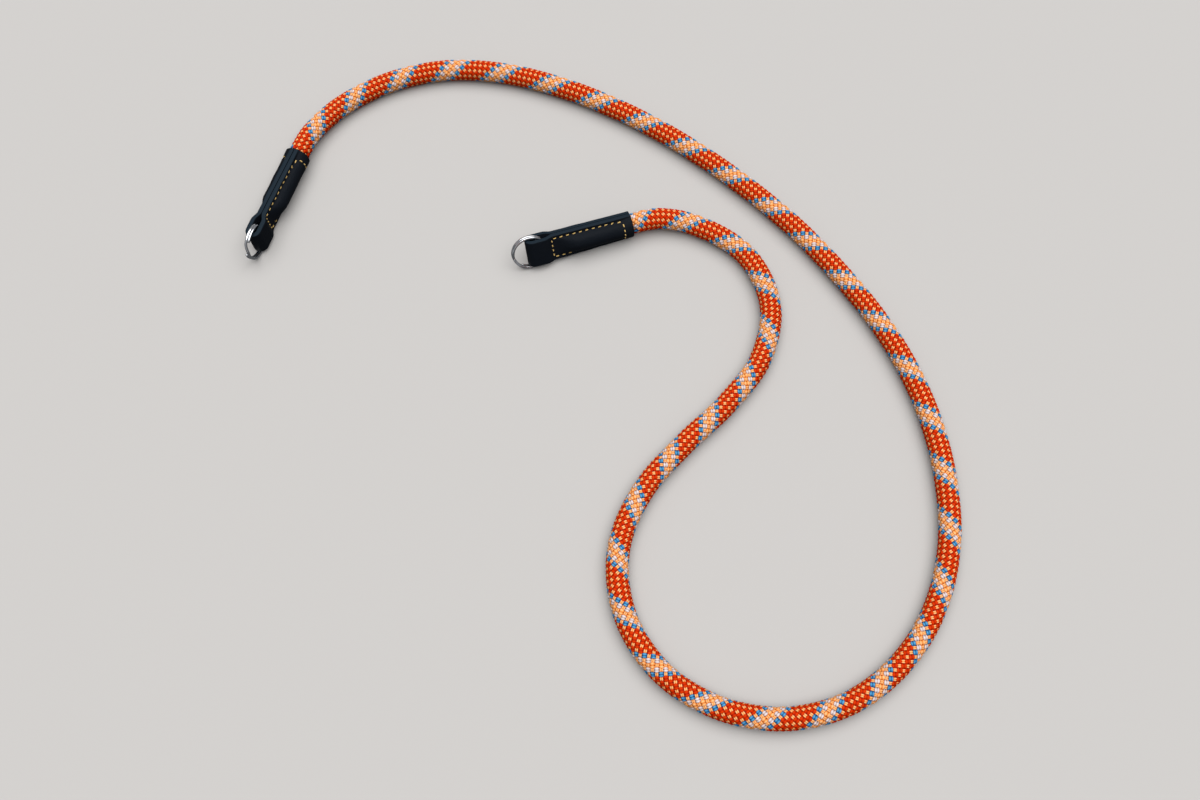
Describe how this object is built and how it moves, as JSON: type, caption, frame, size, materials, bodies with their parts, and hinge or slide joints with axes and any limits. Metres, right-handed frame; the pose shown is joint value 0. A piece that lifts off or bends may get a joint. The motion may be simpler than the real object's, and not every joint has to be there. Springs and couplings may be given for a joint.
{
  "type": "rope camera strap",
  "caption": "Braided rope neck strap laid in an open loop, with a stitched black leather tab folded round a steel split ring at each end.",
  "frame": {"origin": "middle of the strap's box, on the surface that the strap lies on", "axes": "+Z up from the surface, +Y away from the side that the rope's lower bend is on, +X to the right seen from above with +Y up"},
  "size_m": [0.3426, 0.347, 0.0186],
  "materials": {
    "rope": "braided from smooth yarn in orange, cream, white and blue",
    "leather": "satin black, smooth grain",
    "steel": "polished",
    "thread": "waxed tan thread"
  },
  "bodies": {
    "root": {"rope": "rope", "leather_tab_left": "leather", "leather_tab_right": "leather", "split_ring_left": "steel", "split_ring_right": "steel"}
  },
  "joints": []
}
